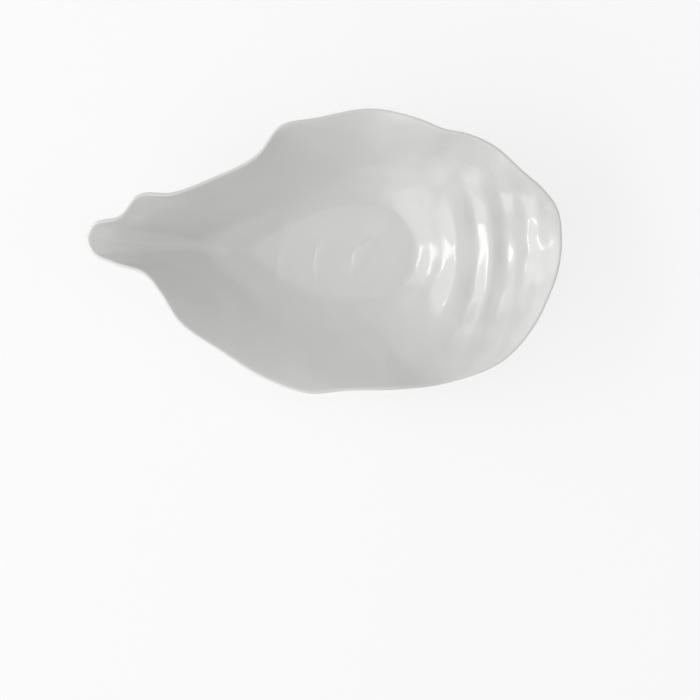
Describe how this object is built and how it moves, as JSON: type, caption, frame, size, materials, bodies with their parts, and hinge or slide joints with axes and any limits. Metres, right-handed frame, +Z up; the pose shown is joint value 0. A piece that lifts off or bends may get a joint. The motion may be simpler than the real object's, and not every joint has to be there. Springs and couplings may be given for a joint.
{
  "type": "shell plate",
  "caption": "Deep glazed porcelain serving plate shaped like an oyster shell, with a wavy rim, a narrow beak, ripples inside the wide end and a low oval foot ring to stand on.",
  "frame": {"origin": "on the table under the middle of the plate's length and width", "axes": "+X from the beak to the wide end, +Z up, +Y to the left when looking along +X"},
  "size_m": [0.3, 0.179, 0.0625],
  "materials": {
    "glaze": "gloss",
    "biscuit": "matte"
  },
  "bodies": {
    "root": {"shell_body": "glaze", "foot_ring": "biscuit"}
  },
  "joints": []
}
